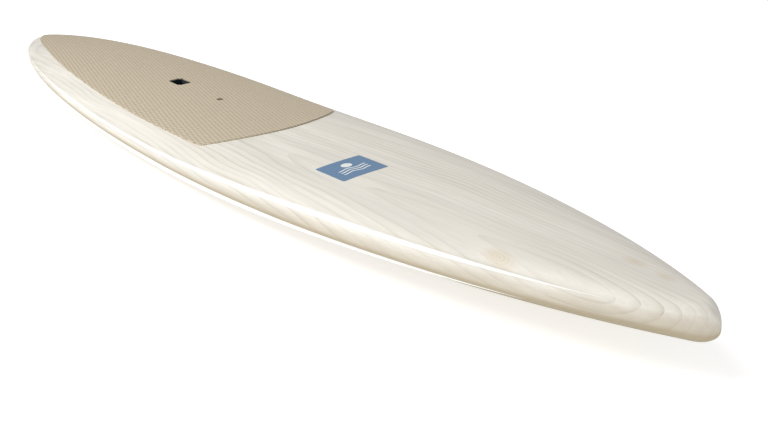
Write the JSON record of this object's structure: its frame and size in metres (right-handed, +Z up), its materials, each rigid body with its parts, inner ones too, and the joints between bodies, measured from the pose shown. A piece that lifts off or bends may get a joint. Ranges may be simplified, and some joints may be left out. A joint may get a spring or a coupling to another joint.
{
  "type": "stand up paddleboard",
  "caption": "Long touring stand up paddleboard with a veneer sandwich skin over a foam core, soft grooved deck pad, recessed carry handle, air vent and fin box.",
  "frame": {"origin": "on the floor under the middle of the board's length, on its centreline", "axes": "+X towards the nose, +Y to port, +Z up"},
  "size_m": [4.265, 0.7279, 0.2151],
  "materials": {
    "deck_veneer": "pale whitewashed veneer under a satin clear coat",
    "hull_veneer": "pale whitewashed veneer under a gloss clear coat",
    "tip_wood": "satin, pale wood",
    "core_foam": "white closed-cell foam beads",
    "stringer_wood": "raw plywood",
    "dense_foam": "dense foam, matt",
    "cup_plastic": "near-black, glossy",
    "grip_rubber": "soft, matt black",
    "vent_plastic": "dark grey-green, fine texture",
    "membrane": "white, matt",
    "seal_rubber": "black, matt",
    "fin_box_plastic": "black, glass-filled",
    "fin_brass": "machined",
    "fin_steel": "machined",
    "pad_foam": "tan closed-cell foam with cut grooves",
    "badge_film": "satin blue film"
  },
  "bodies": {
    "board": {"deck_skin": "deck_veneer", "hull_skin": "hull_veneer", "nose_block": "tip_wood", "tail_block": "tip_wood", "foam_core_port": "core_foam", "foam_core_starboard": "core_foam", "stringer": "stringer_wood", "handle_block": "dense_foam", "handle_cup": "cup_plastic", "handle_grip": "grip_rubber", "vent_insert": "vent_plastic", "vent_membrane": "membrane", "fin_box_block": "dense_foam", "fin_box": "fin_box_plastic", "deck_pad": "pad_foam", "deck_badge": "badge_film"},
    "vent_ring": {"vent_seal": "seal_rubber"},
    "vent_plug": {"vent_screw": "vent_plastic"},
    "fin_nut": {"fin_plate": "fin_brass"},
    "fin_bolt": {"fin_screw": "fin_steel"}
  },
  "joints": [
    {"name": "vent_lift", "type": "slide", "parent": "board", "child": "vent_ring", "axis": [0, 0, 1], "range_m": [0, 0.008]},
    {"name": "vent_turn", "type": "hinge", "parent": "vent_ring", "child": "vent_plug", "pos_m": [-0.152, 0, 0.17], "axis": [0, 0, 1], "range_deg": [0, 2305]},
    {"name": "fin_nut_slide", "type": "slide", "parent": "board", "child": "fin_nut", "axis": [0.9984, 0, -0.0574], "range_m": [-0.2, 0.015]},
    {"name": "fin_bolt_turn", "type": "hinge", "parent": "fin_nut", "child": "fin_bolt", "pos_m": [-1.6235, 0, 0.035], "axis": [0.0574, 0, 0.9984], "continuous": true}
  ],
  "couplings": [
    {"joint": "vent_turn", "follows": "vent_lift", "rad_per_m": 5026.5}
  ]
}
